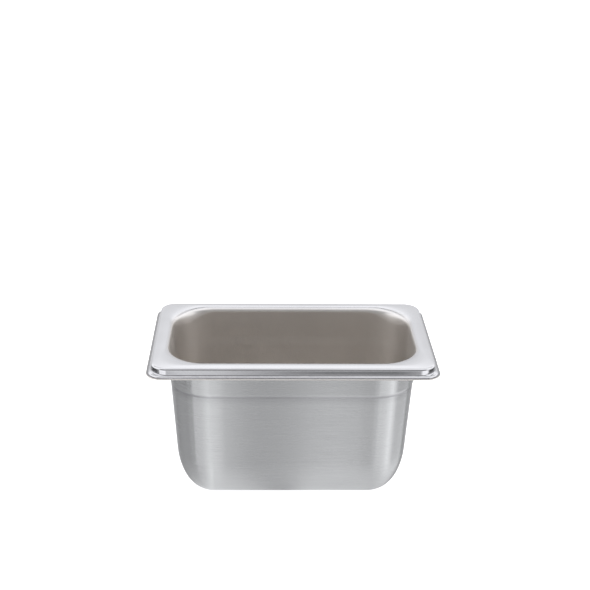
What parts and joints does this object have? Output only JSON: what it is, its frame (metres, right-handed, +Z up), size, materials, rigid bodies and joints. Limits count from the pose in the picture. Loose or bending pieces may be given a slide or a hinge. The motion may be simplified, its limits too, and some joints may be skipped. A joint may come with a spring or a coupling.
{
  "type": "deli food pan",
  "caption": "Rectangular stainless food pan with round corners, a flat flanged rim with a turned-down edge, a stacking shoulder and slightly tapered walls.",
  "frame": {"origin": "under the middle of the pan, on the surface that the floor rests on", "axes": "+Z up through the open mouth, +X along the pan's longer side"},
  "size_m": [0.176, 0.108, 0.1],
  "materials": {
    "stainless_steel": "walls brushed along their length outside, satin inside, with a polished rim and lip"
  },
  "bodies": {
    "root": {"pan_body": "stainless_steel"}
  },
  "joints": []
}
